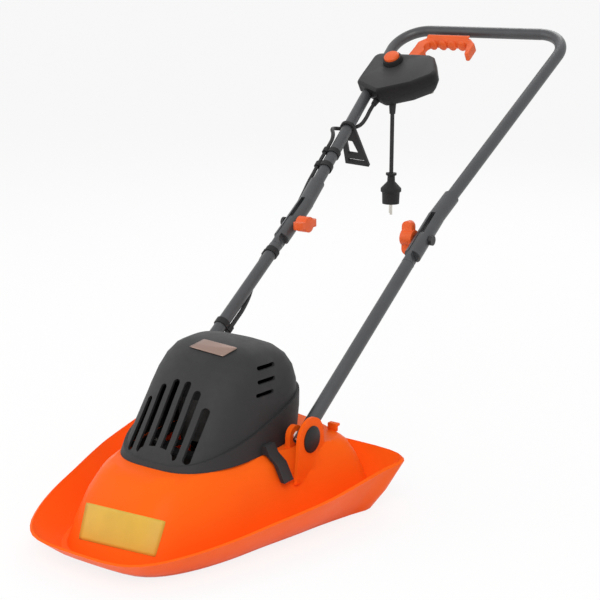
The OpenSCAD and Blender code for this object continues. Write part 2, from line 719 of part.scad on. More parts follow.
// Wing knob on the inner end of the joint bolt
wing_len = 54;
wing_t = 12;
wing_tip_r = 9;
knob_turns = [56, -34];
knob_hub_r = 13;
module wing_knob(turn) {
    on_handle() along_x(knob_x - knob_hub_l, 0, 0) rotate(turn) difference() {
        union() {
            cylinder(r = knob_hub_r, h = knob_hub_l);
            hull() for (s = [-1, 1]) translate([s * (wing_len / 2 - wing_tip_r), 0, wing_tip_r])
                rotate([90, 0, 0]) cylinder(r = wing_tip_r, h = wing_t, center = true, $fn = 32);
        }
        translate([0, 0, 2 * cut]) cylinder(d = joint_bolt_d + 2 * run, h = knob_hub_l);
    }
}
module knob_left() {
    color(orange) wing_knob(knob_turns[0]);
}
module knob_right() {
    color(orange) mirror([1, 0, 0]) wing_knob(knob_turns[1]);
}

// Switch box on the right leg: outline across and along the handle
box_outline = [[-174, 350], [-120, 326], [-62, 352], [-24, 384], [-52, 434], [-174, 434]];
box_round = 12;
box_lip = 6;
box_lip_share = 0.93;
// Shares of the outline at the bottom, above the lower lip and at the seam
box_foot_shares = [0.80, 0.87, 1];
box_mid = [-104, 386];
box_ring = rounded(box_outline, box_round);
function box_level(share, z) = [for (p = box_ring)
    let (q = box_mid + share * (p - box_mid)) [q[0], q[1], z]];
box_wall = 3;
cavity = [64, 48, box_h / 2 - box_wall];
cavity_at = [-130, 362];
lever_pivot = [-112, 414];
lever_t = 16;
lever_slot = [46, 60];
module at_lever_pivot() {
    translate([lever_pivot[0], lever_pivot[1], 0]) children();
}
module box_cuts() {
    translate([cavity_at[0], cavity_at[1], -cavity[2]]) cube([cavity[0], cavity[1], 2 * cavity[2]]);
    at_lever_pivot() translate([-lever_slot[0] / 2, -lever_slot[1] / 4, -lever_t / 2 - gap])
        cube([lever_slot[0], lever_slot[1], lever_t + 2 * gap]);
    mirror([1, 0, 0]) translate([pivot_x, fork_top, 0]) rotate([0, 0, -lean])
        translate([0, leg_start, 0]) rotate([-90, 0, 0]) cylinder(d = tube_d + 2 * fit, h = leg_len);
    at_lever_pivot() cylinder(d = lever_pin_d + 2 * run, h = lever_pin_h, center = true);
}
lever_pin_d = 6;
lever_pin_h = 26;
module shell(up) {
    on_handle() difference() {
        loft([for (k = up ? [[1, gap / 2], [1, box_h / 2 - box_lip], [box_lip_share, box_h / 2]]
            : [[box_foot_shares[0], -box_h / 2], [box_foot_shares[1], box_lip - box_h / 2],
                [box_foot_shares[2], -gap / 2]]) box_level(k[0], k[1])]);
        box_cuts();
        if (up) translate([button_at[0], button_at[1], button_floor])
            cylinder(d = button_d + 2 * fit, h = box_h);
        if (!up) at_lead_relief() cylinder(r = relief_r + fit, h = relief_len);
        if (!up) translate([pigtail_at[0], pigtail_at[1], -box_h / 2]) rotate([-handle_slope, 0, 0])
            translate([0, 0, -box_h / 2]) cylinder(r = relief_r + fit, h = box_h / 2 + relief_sink);
        if (!up) box_screw_spots() cylinder(d = screw_d + 2 * fit, h = box_h, center = true);
    }
}
button_at = [-124, 409];
module switch_base() {
    color(dark) shell(false);
}
module switch_top() {
    color(dark) shell(true);
}
box_screw_at = [[-132, 352], [-48, 386], [-66, 414]];
module box_screw_spots() {
    for (p = box_screw_at) translate([p[0], p[1], 0]) children();
}
module switch_screws() {
    color(steel) on_handle() box_screw_spots() translate([0, 0, -box_h / 2]) {
        translate([0, 0, -screw_head_t]) cylinder(d = screw_head_d, h = screw_head_t);
        cylinder(d = screw_d, h = box_h / 2 - gap);
    }
}
module lever_pin() {
    color(steel) on_handle() at_lever_pivot()
        cylinder(d = lever_pin_d, h = lever_pin_h - 2 * gap, center = true);
}
// Grip lever that is pulled towards the crossbar
lever_gap = 29;
grip_r = 13;
grip_in_r = 10.8;
grip_start = -100;
grip_end = -14;
grip_lip = 2;
lever_boss_r = 10;
toe_len = 22;
toe_half = 3.75;
arm_w = 15;
arm_top = upper_len - lever_gap;
hook_len = 46;
lever_round = 4;
scallop_count = 4;
scallop_r = 14;
scallop_deep = 1.2;
module lever_plan() {
    translate(lever_pivot) circle(lever_boss_r);
    polygon(rounded([lever_pivot + [-arm_w / 2, -lever_round], lever_pivot + [arm_w / 2, -lever_round],
        [grip_start + arm_w, arm_top - grip_r], [grip_start + arm_w, arm_top],
        [grip_start, arm_top], [grip_start - arm_w, arm_top - arm_w],
        [grip_start - arm_w, arm_top - 2 * arm_w]], lever_round));
    polygon([lever_pivot + [-arm_w / 2, 0], lever_pivot + [-toe_half, -toe_len],
        lever_pivot + [toe_half, -toe_len], lever_pivot + [toe_half, 0]]);
    polygon(rounded([[grip_end - arm_w, arm_top - grip_in_r], [grip_end - arm_w, arm_top],
        [grip_end, arm_top], [grip_end + arm_w, arm_top - arm_w],
        [grip_end + arm_w, arm_top - hook_len], [grip_end + arm_w / 2, arm_top - hook_len],
        [grip_end, arm_top - arm_w]], lever_round / 2));
}
module grip_section() {
    difference() {
        circle(grip_r);
        circle(grip_in_r);
        translate([grip_lip, -grip_r]) square(2 * grip_r);
    }
}
module bail_lever() {
    grip_len = grip_end - grip_start;
    color(orange) on_handle() difference() {
        union() {
            translate([0, 0, -lever_t / 2]) linear_extrude(lever_t) lever_plan();
            translate([grip_start, arm_top, 0]) rotate([90, 0, 90])
                linear_extrude(grip_len) grip_section();
        }
        at_lever_pivot() cylinder(d = lever_pin_d + 2 * run, h = lever_pin_h, center = true);
        for (k = [1 : scallop_count]) translate([grip_start + k * grip_len / (scallop_count + 1),
            arm_top - grip_r - scallop_r + scallop_deep, 0])
            cylinder(r = scallop_r, h = 4 * grip_r, center = true);
    }
}
plunger_d = 6;
plunger_len = 12;
plunger_in = 4;
plunger_y = lever_pivot[1] - toe_len + plunger_d / 2 + cut;
plunger_x = lever_pivot[0] + toe_half + gap;
module switch_plunger() {
    color("firebrick") on_handle() translate([plunger_x, plunger_y, 0]) rotate([0, 90, 0])
        cylinder(d = plunger_d, h = plunger_len);
}
micro = [20, 22, 2 * cavity[2]];
module microswitch() {
    color("black") on_handle() difference() {
        translate([plunger_x + plunger_len - plunger_in, plunger_y - micro[1] / 2, -micro[2] / 2])
            cube(micro);
        translate([plunger_x, plunger_y, 0]) rotate([0, 90, 0])
            cylinder(d = plunger_d + 2 * run, h = plunger_len + plunger_in);
    }
}
collar_rim = 5;
collar_r = button_d / 2 + collar_rim;
collar_h = 9;
collar_top_share = 0.9;
button_rest = 2;
button_proud = button_travel + button_rest;
button_deep = 12;
button_h = button_proud + button_deep;
button_round = 2.5;
button_floor = box_h / 2 + collar_h - button_deep - button_travel - gap;
module button_collar() {
    color("black") on_handle() translate([button_at[0], button_at[1], box_h / 2]) difference() {
        cylinder(r1 = collar_r, r2 = collar_r * collar_top_share, h = collar_h);
        translate([0, 0, -cut]) cylinder(d = button_d + 2 * fit, h = collar_h + 2 * cut);
    }
}
module lock_button() {
    color(orange) on_handle()
        translate([button_at[0], button_at[1], box_h / 2 + collar_h - button_deep]) rotate_extrude()
            polygon([[0, 0], [button_d / 2, 0], [button_d / 2, button_h - button_round],
                [button_d / 2 - button_round, button_h], [0, button_h]]);
}

// Motor lead, clipped along the right tubes from the box to the cover
lead_d = 7;
lead_steps = 3;
lead_upper_route = [[-131, 322, -8], [-131, 306, -9], [-132, 290, -13], [-138, 276, -18],
    [-149, 265, -17], [-162, 254, -11], [-169, 242, -1], [-164, 229, 8], [-154, 215, 10],
    [-149, 200, 9], [-148, 175, 7], [-146, 140, 5], [-145, 118, 3], [-145, 98, 0], [-143, 75, -3]];
lead_joint_route = [[-143, 75 - gap, -3], [-141, 45, -7], [-141, 15, -13], [-141, -15, -13],
    [-139, -40, -9]];
// Stations along the lower tube and the turn of the lead round it
lead_lower_turns = [[-58, 196], [-85, 196], [-110, 215], [-135, 245], [-160, 275], [-190, 305],
    [-215, 315], [-260, 315], [-300, 315]];
lead_r = tube_d / 2 + lead_d / 2 + gap * 2;
function round_tube(turn) = [lead_r * cos(turn), lead_r * sin(turn)];
lead_lower_route = [for (q = lead_lower_turns) let (w = round_tube(q[1]))
    [w[0] - pivot_x, q[0], w[1]]];
gland_at = [-70, 120, 130];
lead_tail_route = [gland_at + [0, gap, 0], [-70, 127, 130], [-76, 134, 129], [-86, 138, 128],
    [-97, 136, 129], [-107, 130, 136], [-112, 125, 146], [-113, 126, 157]];
// Place in the room of a point given in the frame of the handle
function in_room(p) = [p[0], joint_y + p[1] * cos(handle_slope) - p[2] * sin(handle_slope),
    joint_z + p[1] * sin(handle_slope) + p[2] * cos(handle_slope)];
tail_step = 9;
lead_joint_end = [for (y = [tail_step, cut]) lead_lower_route[0] + [0, y, 0]];
lead_lower_end = lead_lower_route[len(lead_lower_route) - 1];
lead_tail_end = [for (y = [tail_step, gap]) in_room(lead_lower_end - [0, y, 0])];
module lead_upper() {
    color("black") on_handle() swept_tube(eased(lead_upper_route, lead_steps), lead_d / 2);
}
module lead_joint() {
    color("black") on_handle() swept_tube(
        eased(concat(lead_joint_route, lead_joint_end), lead_steps), lead_d / 2);
}
module lead_lower() {
    color("black") on_handle() swept_tube(eased(lead_lower_route, lead_steps), lead_d / 2);
}
module lead_tail() {
    color("black") swept_tube(eased(concat(lead_tail_route, lead_tail_end), lead_steps),
        lead_d / 2);
}
clip_wall = 2;
clip_l = 10;
module clip(side) {
    rotate([-90, 0, 0]) difference() {
        union() {
            cylinder(d = tube_d + 2 * clip_wall, h = clip_l, center = true);
            translate(side) cylinder(d = lead_d + 2 * clip_wall, h = clip_l, center = true);
        }
        cylinder(d = tube_d + 2 * run, h = clip_l + cut, center = true);
        translate(side) cylinder(d = lead_d + 4 * gap, h = clip_l + cut, center = true);
    }
}
lower_clip_turns = [[-72, 196], [-235, 315], [-285, 315]];
module lower_clips() {
    color("black") on_handle() for (q = lower_clip_turns) let (w = round_tube(q[1]))
        translate([-pivot_x, q[0], 0]) clip([w[0], -w[1]]);
}
upper_clip_at = [[-148, 175, 7], [-146, 140, 5]];
module upper_clips() {
    color("black") on_handle() for (p = upper_clip_at)
        let (c = -pivot_x - (p[1] - fork_top) * tan(lean))
        translate([c, p[1], 0]) rotate([0, 0, lean]) clip([(p[0] - c) * cos(lean), -p[2]]);
}
relief_len = 24;
relief_sink = 10;
relief_lip = 1.5;
relief_r = 7;
lead_exit = lead_upper_route[0];
module at_lead_relief() {
    translate([lead_exit[0], lead_exit[1] + relief_len, lead_exit[2]]) rotate([90, 0, 0]) children();
}
module lead_relief() {
    color("black") on_handle() at_lead_relief()
        cylinder(r1 = relief_r, r2 = lead_d / 2 + relief_lip, h = relief_len);
}
gland_r = 8;
gland_l = 24;
module at_gland() {
    translate(gland_at) rotate([-90, 0, 0]) translate([0, 0, -gland_l]) children();
}
module lead_gland() {
    color("black") at_gland() cylinder(r = gland_r, h = gland_l);
}

// Mains pigtail that hangs from the box
pigtail_at = [-112, 354];
pigtail_d = 7.5;
pigtail_len = 108;
plug_len = 57;
plug_r = 19;
pin_d = 4.8;
pin_len = 19;
pin_pitch = 19;
pigtail_y = joint_y + pigtail_at[1] * cos(handle_slope) + box_h / 2 * sin(handle_slope);
pigtail_top = joint_z + pigtail_at[1] * sin(handle_slope) - box_h / 2 * cos(handle_slope);
cord_top = pigtail_top - relief_len;
cord_rings = 8;
module pigtail_relief() {
    color("black") translate([pigtail_at[0], pigtail_y, cord_top]) rotate_extrude()
        polygon([[0, 0], [pigtail_d / 2 + relief_lip, 0], [relief_r, relief_len],
            [relief_r, relief_len + relief_sink], [0, relief_len + relief_sink]]);
}
module pigtail_cord() {
    color("black") swept_tube([for (k = [0 : cord_rings])
        [pigtail_at[0], pigtail_y, cord_top - k * pigtail_len / cord_rings]], pigtail_d / 2);
}
plug_top = cord_top - pigtail_len;
plug_shares = [[0.52, 1], [0.52, 0.93], [0.36, 0.90], [0.38, 0.72], [0.72, 0.60], [1, 0.50], [1, 0.40],
    [0.86, 0.36], [0.82, 0]];
pin_turn = -55;
module plug() {
    color("black") translate([pigtail_at[0], pigtail_y, plug_top - plug_len]) rotate_extrude()
        polygon(concat([[0, 0]], [for (k = [len(plug_shares) - 1 : -1 : 0])
            [plug_shares[k][0] * plug_r, plug_shares[k][1] * plug_len]], [[0, plug_len]]));
}
module plug_pins() {
    color(steel) translate([pigtail_at[0], pigtail_y, plug_top - plug_len - pin_len]) rotate(pin_turn)
        for (s = [-1, 1]) translate([s * pin_pitch / 2, 0, 0]) cylinder(d = pin_d, h = pin_len);
}

// Cable restraint that hangs on the right leg
restraint_at = 246;
restraint_t = 7;
restraint_h = 84;
restraint_turn = 10;
restraint_w = 46;
restraint_ring_r = 14;
restraint_slot = 7;
restraint_left_share = 0.667;
slot_width_share = 0.667;
hole_shares = [0.125, 0.33, 0.70];
module cable_restraint() {
    left = restraint_w * restraint_left_share;
    narrow = restraint_w * hole_shares[0];
    wide = restraint_w * hole_shares[1];
    high = -restraint_h * hole_shares[1];
    low = -restraint_h * hole_shares[2];
    color("black") mirror([1, 0, 0]) on_leg() translate([0, restraint_at - fork_top, 0])
        rotate([90, -restraint_turn, 0]) translate([0, 0, -restraint_t / 2]) difference() {
            union() {
                cylinder(r = restraint_ring_r, h = restraint_t);
                linear_extrude(restraint_t) polygon([[-restraint_ring_r, 0], [restraint_ring_r, 0],
                    [restraint_w - left, -restraint_h], [-left, -restraint_h]]);
            }
            translate([0, 0, -cut]) cylinder(r = tube_d / 2 + run, h = restraint_t + 2 * cut);
            translate([-restraint_w / 2, restraint_slot - restraint_h, -cut])
                cube([restraint_w * slot_width_share, restraint_slot, restraint_t + 2 * cut]);
            translate([0, 0, -cut]) linear_extrude(restraint_t + 2 * cut)
                polygon([[-narrow, high], [narrow, high], [narrow, low], [-wide, low]]);
        }
}

hood();
motor_cover();
cover_screws();
motor_plate();
plate_screws();
stator();
field_coils();
upper_bracket();
lower_bearing();
upper_bearing();
brush_holders();
carbon_brushes();
suppressor();
lead_gland();
lead_tail();
pivot_bolts();
pivot_caps();
shaft();
armature();
commutator();
impeller();
blade_spacer();
blade();
blade_washer();
blade_bolt();
lower_tube_left();
lower_tube_right();
pivot_bushes();
lead_lower();
lower_clips();
upper_tube();
joint_left();
joint_right();
joint_bolts();
switch_base();
switch_top();
switch_screws();
microswitch();
lever_pin();
lead_upper();
lead_joint();
upper_clips();
lead_relief();
pigtail_relief();
pigtail_cord();
plug();
plug_pins();
button_collar();
knob_left();
knob_right();
bail_lever();
switch_plunger();
lock_button();
cable_restraint();
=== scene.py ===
# %% [markdown]
# # A hover mower, dressed for its photograph
# The solids of the mower come in as a finished frame: hood, motor cover, folding handle, switch box
# and the motor inside. This lesson gives each of them its finish, and adds the thin things that
# a solid model leaves out: the bare plates, the soft leads and the hanging mains cord.

import json
import math

import bmesh
import bpy
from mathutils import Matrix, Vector
from mathutils.bvhtree import BVHTree


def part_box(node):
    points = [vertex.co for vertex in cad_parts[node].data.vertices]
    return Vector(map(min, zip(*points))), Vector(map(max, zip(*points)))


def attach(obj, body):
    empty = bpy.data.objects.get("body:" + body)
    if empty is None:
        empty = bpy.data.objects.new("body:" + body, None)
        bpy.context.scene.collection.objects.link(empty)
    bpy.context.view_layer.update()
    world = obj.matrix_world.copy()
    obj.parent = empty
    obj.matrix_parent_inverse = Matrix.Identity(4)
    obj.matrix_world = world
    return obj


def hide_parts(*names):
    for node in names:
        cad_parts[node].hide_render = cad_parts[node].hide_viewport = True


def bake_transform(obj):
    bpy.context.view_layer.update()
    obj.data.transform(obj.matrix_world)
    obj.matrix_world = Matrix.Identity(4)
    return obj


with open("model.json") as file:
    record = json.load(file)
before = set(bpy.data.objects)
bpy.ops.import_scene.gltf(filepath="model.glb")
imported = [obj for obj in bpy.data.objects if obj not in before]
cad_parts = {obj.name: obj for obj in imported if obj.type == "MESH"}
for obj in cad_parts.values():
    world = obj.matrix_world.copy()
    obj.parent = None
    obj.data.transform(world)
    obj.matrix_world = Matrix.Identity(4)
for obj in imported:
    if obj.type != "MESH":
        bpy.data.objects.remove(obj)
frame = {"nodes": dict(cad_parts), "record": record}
nodes = frame["nodes"]
joints = {row["name"]: row for row in frame["record"]["behaviour"]["joints"]}
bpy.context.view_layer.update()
scene = bpy.context.scene

# %% [markdown]
# ## The viewpoint
# The photograph looks at the mower from its left front, a little above the cover. A long lens keeps
# the legs of the handle nearly parallel. Turning the camera would slide the mower into place in the
# frame too, but it would change the perspective a little, so the lens shift does it instead.

# %% Camera
aim = Vector((0, 0.145, 0.340))
turn = math.radians(35.1)
rise = math.radians(12.2)
distance = 1.9851
away = Vector((math.sin(turn) * math.cos(rise), -math.cos(turn) * math.cos(rise), math.sin(rise)))
lens = bpy.data.cameras.new("camera")
lens.lens = 81
lens.sensor_width = 36
lens.shift_x = 0.0497
lens.shift_y = -0.0683
camera = bpy.data.objects.new("camera", lens)
camera.location = aim + away * distance
camera.rotation_euler = (-away).to_track_quat("-Z", "Y").to_euler()
scene.collection.objects.link(camera)
scene.camera = camera
print("camera stands at", [round(v, 3) for v in camera.location])

# %% [markdown]
# ## White that lights nothing
# A product picture stands on a white sweep. Stronger lamps would give that white, but they would
# bleach the mower as well. The Light Path node tells which ray asks, so white is mixed in only for
# what the camera sees, also in a mirror or through glass. The light that falls on the mower stays
# at a plain level, and an orange written in a material comes out as that orange.

# %% White for the camera
full_white = 1.0
white = (1, 1, 1, 1)
mirror_rays = ("Is Glossy Ray", "Is Transmission Ray")


def white_to_camera(tree, shaded, bright, share, end):
    """Mixes in a share of a bright shader for what the camera sees, also in mirrors and glass."""
    path = tree.nodes.new("ShaderNodeLightPath")
    seen = path.outputs["Is Camera Ray"]
    for ray in mirror_rays:
        either = tree.nodes.new("ShaderNodeMath")
        either.operation = "MAXIMUM"
        tree.links.new(seen, either.inputs[0])
        tree.links.new(path.outputs[ray], either.inputs[1])
        seen = either.outputs[0]
    part = tree.nodes.new("ShaderNodeMath")
    part.operation = "MULTIPLY"
    part.inputs[1].default_value = share
    tree.links.new(seen, part.inputs[0])
    mix = tree.nodes.new("ShaderNodeMixShader")
    tree.links.new(part.outputs[0], mix.inputs[0])
    tree.links.new(shaded.outputs[0], mix.inputs[1])
    tree.links.new(bright.outputs[0], mix.inputs[2])
    tree.links.new(mix.outputs[0], tree.nodes[end].inputs[0])


print("white is shown to the camera, and to", mirror_rays)

# %% [markdown]
# ## The floor
# A wide sheet of pale paper carries the mower's shadow. A curved sweep would do as well, but a plain
# sheet that reaches past the picture looks the same from here. It lies a hair below the ground, so
# that it never shares a plane with the lower edge of the hood. Part of it stays plain shaded paper,
# because pure white would swallow the shadow.

# %% Floor
floor_reach = 80
floor_drop = 0.0005
paper_shade = (0.9, 0.9, 0.9, 1)
paper_rough = 0.9
paper_white_share = 0.84
floor_mesh = bpy.data.meshes.new("floor")
floor_corners = [(x * floor_reach, y * floor_reach, 0) for x, y in ((-1, -1), (1, -1), (1, 1), (-1, 1))]
floor_mesh.from_pydata(floor_corners, [], [(0, 1, 2, 3)])
floor = bpy.data.objects.new("floor", floor_mesh)
floor.location.z = -floor_drop
scene.collection.objects.link(floor)
paper = bpy.data.materials.new("white_paper")
paper.use_nodes = True
paper_bsdf = paper.node_tree.nodes["Principled BSDF"]
paper_bsdf.inputs["Base Color"].default_value = paper_shade
paper_bsdf.inputs["Roughness"].default_value = paper_rough
paper_glow = paper.node_tree.nodes.new("ShaderNodeEmission")
paper_glow.inputs["Strength"].default_value = full_white
white_to_camera(paper.node_tree, paper_bsdf, paper_glow, paper_white_share, "Material Output")
floor_mesh.materials.append(paper)
print("floor reaches", floor_reach, "m each way")

# %% [markdown]
# ## The sky
# A white studio throws even light from all round, which keeps the shaded side of the dark cover and
# tubes readable. One plain colour in the world does this. Its strength is lower than white, and the
# camera is shown the full white in its place.

# %% Sky
sky_strength = 0.62
sky_white_share = 1.0
sky = bpy.data.worlds.new("studio")
sky.use_nodes = True
sky_light = sky.node_tree.nodes["Background"]
sky_light.inputs["Color"].default_value = white
sky_light.inputs["Strength"].default_value = sky_strength
sky_white = sky.node_tree.nodes.new("ShaderNodeBackground")
sky_white.inputs["Color"].default_value = white
sky_white.inputs["Strength"].default_value = full_white
white_to_camera(sky.node_tree, sky_light, sky_white, sky_white_share, "World Output")
scene.world = sky
print("sky lights the mower at", sky_strength)

# %% [markdown]
# ## The lamps
# Three softboxes stand round the mower: a key above the camera, a weak fill to its left and a rim
# light behind, which draws the edges of the tubes. Area lamps are used because small lamps
# would put hard spots on the dome, where a real studio shows a broad sheen.

# %% Lamps
lamp_target = Vector((0, 0.1, 0.2))


def soft_lamp(name, place, size, watts):
    """A square softbox that faces the middle of the mower."""
    lamp = bpy.data.lights.new(name, "AREA")
    lamp.size = size
    lamp.energy = watts
    box = bpy.data.objects.new(name, lamp)
    box.location = place
    box.rotation_euler = (Vector(place) - lamp_target).to_track_quat("Z", "Y").to_euler()
    scene.collection.objects.link(box)


soft_lamp("key", place=(1.2, -1.9, 2.3), size=1.6, watts=42)
soft_lamp("fill", place=(-2.0, -1.0, 1.4), size=1.8, watts=14)
soft_lamp("rim", place=(-0.6, 2.4, 2.2), size=1.4, watts=20)
scene.view_settings.view_transform = "Standard"

# %% [markdown]
# ## A kit for finishes
# Moulded plastic, powder coat and rolled steel all vary a little: a broad drift of shade, patches
# that shine more than others, and a fine grain that catches light. Pictures of such surfaces could
# be wrapped round the parts, but noise needs no unwrapping and follows every part in its own metres.
# One helper wires the three noises into a shader, and each finish chooses its own scale and depth.

# %% Finish helper
ramp_ends = (0.3, 0.7)
patch_ratio = 7
least_rough = 0.03
grain_detail = 2.0
grain_strength = 0.5


def noise(tree, scale, detail=4.0, stretch=None):
    """A noise in the object's own metres, stretched along an axis for rolled or brushed metal."""
    place = tree.nodes.new("ShaderNodeTexCoord")
    swirl = tree.nodes.new("ShaderNodeTexNoise")
    swirl.inputs["Scale"].default_value = scale
    swirl.inputs["Detail"].default_value = detail
    if stretch:
        squeeze = tree.nodes.new("ShaderNodeMapping")
        squeeze.inputs["Scale"].default_value = stretch
        tree.links.new(place.outputs["Object"], squeeze.inputs["Vector"])
        tree.links.new(squeeze.outputs["Vector"], swirl.inputs["Vector"])
    else:
        tree.links.new(place.outputs["Object"], swirl.inputs["Vector"])
    return swirl.outputs["Fac"]


def finish(name, colour, rough, metal=0.0, drift=0.08, broad=14, grain=1800, depth=0.00006,
           rough_drift=0.08, stretch=None, coat=0.0, shine=0.5):
    """A finish whose shade, gloss and surface all vary, as on a part from a real mould or mill."""
    material = bpy.data.materials.new(name)
    material.use_nodes = True
    tree = material.node_tree
    bsdf = tree.nodes["Principled BSDF"]
    bsdf.inputs["Metallic"].default_value = metal
    bsdf.inputs["Coat Weight"].default_value = coat
    bsdf.inputs["Specular IOR Level"].default_value = shine
    shade = tree.nodes.new("ShaderNodeValToRGB")
    for stop, spot, level in zip(shade.color_ramp.elements, ramp_ends, (1 - drift, 1 + drift)):
        stop.position = spot
        stop.color = [min(1, c * level) for c in colour] + [1]
    tree.links.new(noise(tree, broad, stretch=stretch), shade.inputs["Fac"])
    tree.links.new(shade.outputs["Color"], bsdf.inputs["Base Color"])
    gloss = tree.nodes.new("ShaderNodeMapRange")
    gloss.inputs["To Min"].default_value = max(least_rough, rough - rough_drift)
    gloss.inputs["To Max"].default_value = min(1, rough + rough_drift)
    tree.links.new(noise(tree, broad * patch_ratio, stretch=stretch), gloss.inputs["Value"])
    tree.links.new(gloss.outputs["Result"], bsdf.inputs["Roughness"])
    bump = tree.nodes.new("ShaderNodeBump")
    bump.inputs["Strength"].default_value = grain_strength
    bump.inputs["Distance"].default_value = depth
    tree.links.new(noise(tree, grain, grain_detail, stretch), bump.inputs["Height"])
    tree.links.new(bump.outputs["Normal"], bsdf.inputs["Normal"])
    return material


def srgb(*levels):
    """A colour as a picture gives it, turned into linear light by the usual curve of screens."""
    shares = [level / 255 for level in levels]
    return tuple(s / 12.92 if s <= 0.04045 else ((s + 0.055) / 1.055) ** 2.4 for s in shares)


print("a grey of 128 is", round(srgb(128)[0], 3), "in linear light")

# %% [markdown]
# ## One finish for each slot of the record
# The hood is a satin orange thermoplastic, the cover a black one with a fine spark-eroded texture.
# The tubes are powder coated, which has a slight orange-peel. Motor parts inside show bare steel,
# copper and brass. One row for each slot keeps all of them side by side, so that two blacks
# can be told apart while they are chosen.

# %% Finishes of the mower
recipes = {
    "orange_hood": dict(colour=srgb(252, 99, 22), rough=0.42, drift=0.05, broad=9, grain=900,
                        depth=0.00004, shine=0.05),
    "black_cover": dict(colour=srgb(42, 42, 43), rough=0.62, drift=0.10, grain=2400, depth=0.00012,
                        shine=0.3),
    "orange_trim": dict(colour=srgb(226, 94, 40), rough=0.42, drift=0.07, broad=30, grain=1600, shine=0.3),
    "dark_box": dict(colour=srgb(56, 56, 57), rough=0.58, grain=2600, depth=0.00010, shine=0.3),
    "black_tube": dict(colour=srgb(62, 63, 65), rough=0.42, drift=0.10, broad=40, grain=1200,
                       depth=0.00005, coat=0.1),
    "black_plastic": dict(colour=srgb(26, 26, 27), rough=0.55, drift=0.10, grain=2200, shine=0.3),
    "zinc_steel": dict(colour=(0.56, 0.56, 0.52), rough=0.34, metal=1.0, drift=0.12, broad=60),
    "black_steel": dict(colour=(0.03, 0.03, 0.032), rough=0.4, metal=0.6, drift=0.12, broad=60),
    "bright_steel": dict(colour=(0.55, 0.56, 0.58), rough=0.3, metal=1.0, drift=0.10, broad=60,
                         stretch=(1, 14, 14)),
    "copper_parts": dict(colour=(0.62, 0.27, 0.12), rough=0.35, metal=1.0, drift=0.2, broad=90,
                         grain=700, depth=0.0003, stretch=(1, 1, 12)),
    "brass_holder": dict(colour=(0.72, 0.52, 0.22), rough=0.32, metal=1.0, broad=80),
    "carbon": dict(colour=(0.02, 0.02, 0.022), rough=0.55, drift=0.3, broad=200),
    "yellow_film": dict(colour=(0.66, 0.42, 0.05), rough=0.4, broad=80),
    "white_bush": dict(colour=(0.78, 0.78, 0.74), rough=0.5, broad=80),
    "red_plunger": dict(colour=(0.45, 0.03, 0.02), rough=0.45, broad=120),
    "black_cord": dict(colour=srgb(24, 24, 25), rough=0.62, drift=0.15, broad=60, grain=1500),
    "black_plug": dict(colour=srgb(28, 28, 29), rough=0.6, drift=0.12, broad=60, shine=0.3),
    "nickel_pins": dict(colour=(0.62, 0.60, 0.55), rough=0.22, metal=1.0, broad=120),
}
finishes = {slot: finish(slot, **recipe) for slot, recipe in recipes.items()}
print("finishes:", len(finishes))

# %% [markdown]
# ## Dressing the solids
# The record names a slot for each solid, so a loop can hand out the finishes. Two kinds of parts
# depart from it. Windings and laminations are dipped in dark varnish, so they get finishes of their
# own. The folding joints are pressed from the same coated steel as the tubes, and share theirs.

# %% A finish on every solid
varnished = {
    "stator": finish("varnished_steel", (0.035, 0.032, 0.030), rough=0.45, metal=0.3, drift=0.2, broad=40,
                     grain=900, depth=0.0002, stretch=(1, 1, 30)),
    "field_coils": finish("varnished_wire", (0.030, 0.014, 0.010), rough=0.4, drift=0.25, broad=90,
                          grain=700, depth=0.0004, stretch=(1, 1, 14), coat=0.2),
}
coated = {side: finishes["black_tube"] for side in ("joint_left", "joint_right")}
departures = {**varnished, **coated}
for row in frame["record"]["subparts"]:
    shell = nodes[row["node"]]
    shell.data.materials.clear()
    shell.data.materials.append(departures.get(row["node"]) or finishes[row["material_slot"]])
print("dressed solids:", len(nodes), "with a finish apart from their slot:", sorted(departures))

# %% [markdown]
# ## A second colour within one finish
# Some parts need a second colour where no edge divides them, such as painted shade inside the motor bay
# and on the walls of the switch box. Splitting the mesh would need new edges, so a mask in the material is
# used:
# a share between 0 and 1 that lays a second colour over the first. One such share comes from the way
# a face looks.

# %% Masks in a finish
# All kinds of a Mix node carry the same socket names, so the sockets of a colour mix go by number
mix_share, mix_first, mix_second, mix_result = 0, 6, 7, 2


def over(material, share, colour):
    """Lays a colour over the finish's own, by a share between 0 and 1."""
    tree = material.node_tree
    both = tree.nodes.new("ShaderNodeMix")
    both.data_type = "RGBA"
    both.inputs[mix_second].default_value = (*colour, 1)
    own = tree.nodes["Principled BSDF"].inputs["Base Color"]
    tree.links.new(share, both.inputs[mix_share])
    tree.links.new(own.links[0].from_socket, both.inputs[mix_first])
    tree.links.new(both.outputs[mix_result], own)


def facing(material, way, low, high):
    """How far a face looks along a way, as a share that rises between two cosines."""
    tree = material.node_tree
    place = tree.nodes.new("ShaderNodeTexCoord")
    along = tree.nodes.new("ShaderNodeVectorMath")
    along.operation = "DOT_PRODUCT"
    along.inputs[1].default_value = way
    tree.links.new(place.outputs["Normal"], along.inputs[0])
    share = tree.nodes.new("ShaderNodeMapRange")
    share.inputs["From Min"].default_value = low
    share.inputs["From Max"].default_value = high
    tree.links.new(along.outputs["Value"], share.inputs["Value"])
    return share.outputs["Result"]


print("masks: over, facing")

# %% [markdown]
# ## Painted shade under the cover
# The slots of the cover look into the motor bay, where the cover throws shade on the hood. That shade is
# painted: the orange turns nearly black there, so the slots look into the dark. An oval mask in the hood's
# own finish does this, because a painted patch would need a picture. The oval lies inside the foot of the
# cover, and faces that look down keep their orange.

# %% Painted shade in the motor bay
cover_front = 0.135
cover_rear = 0.118
cover_half_width = 0.095
cover_wall = 0.003
bay_depth = 0.060
bay_edge = 0.04
bay_shade_from = -0.3
bay_shade_full = -0.2
# painted shade: the nearly black colour of the hood where the cover hides it
painted_bay_shade = (0.012, 0.009, 0.008)


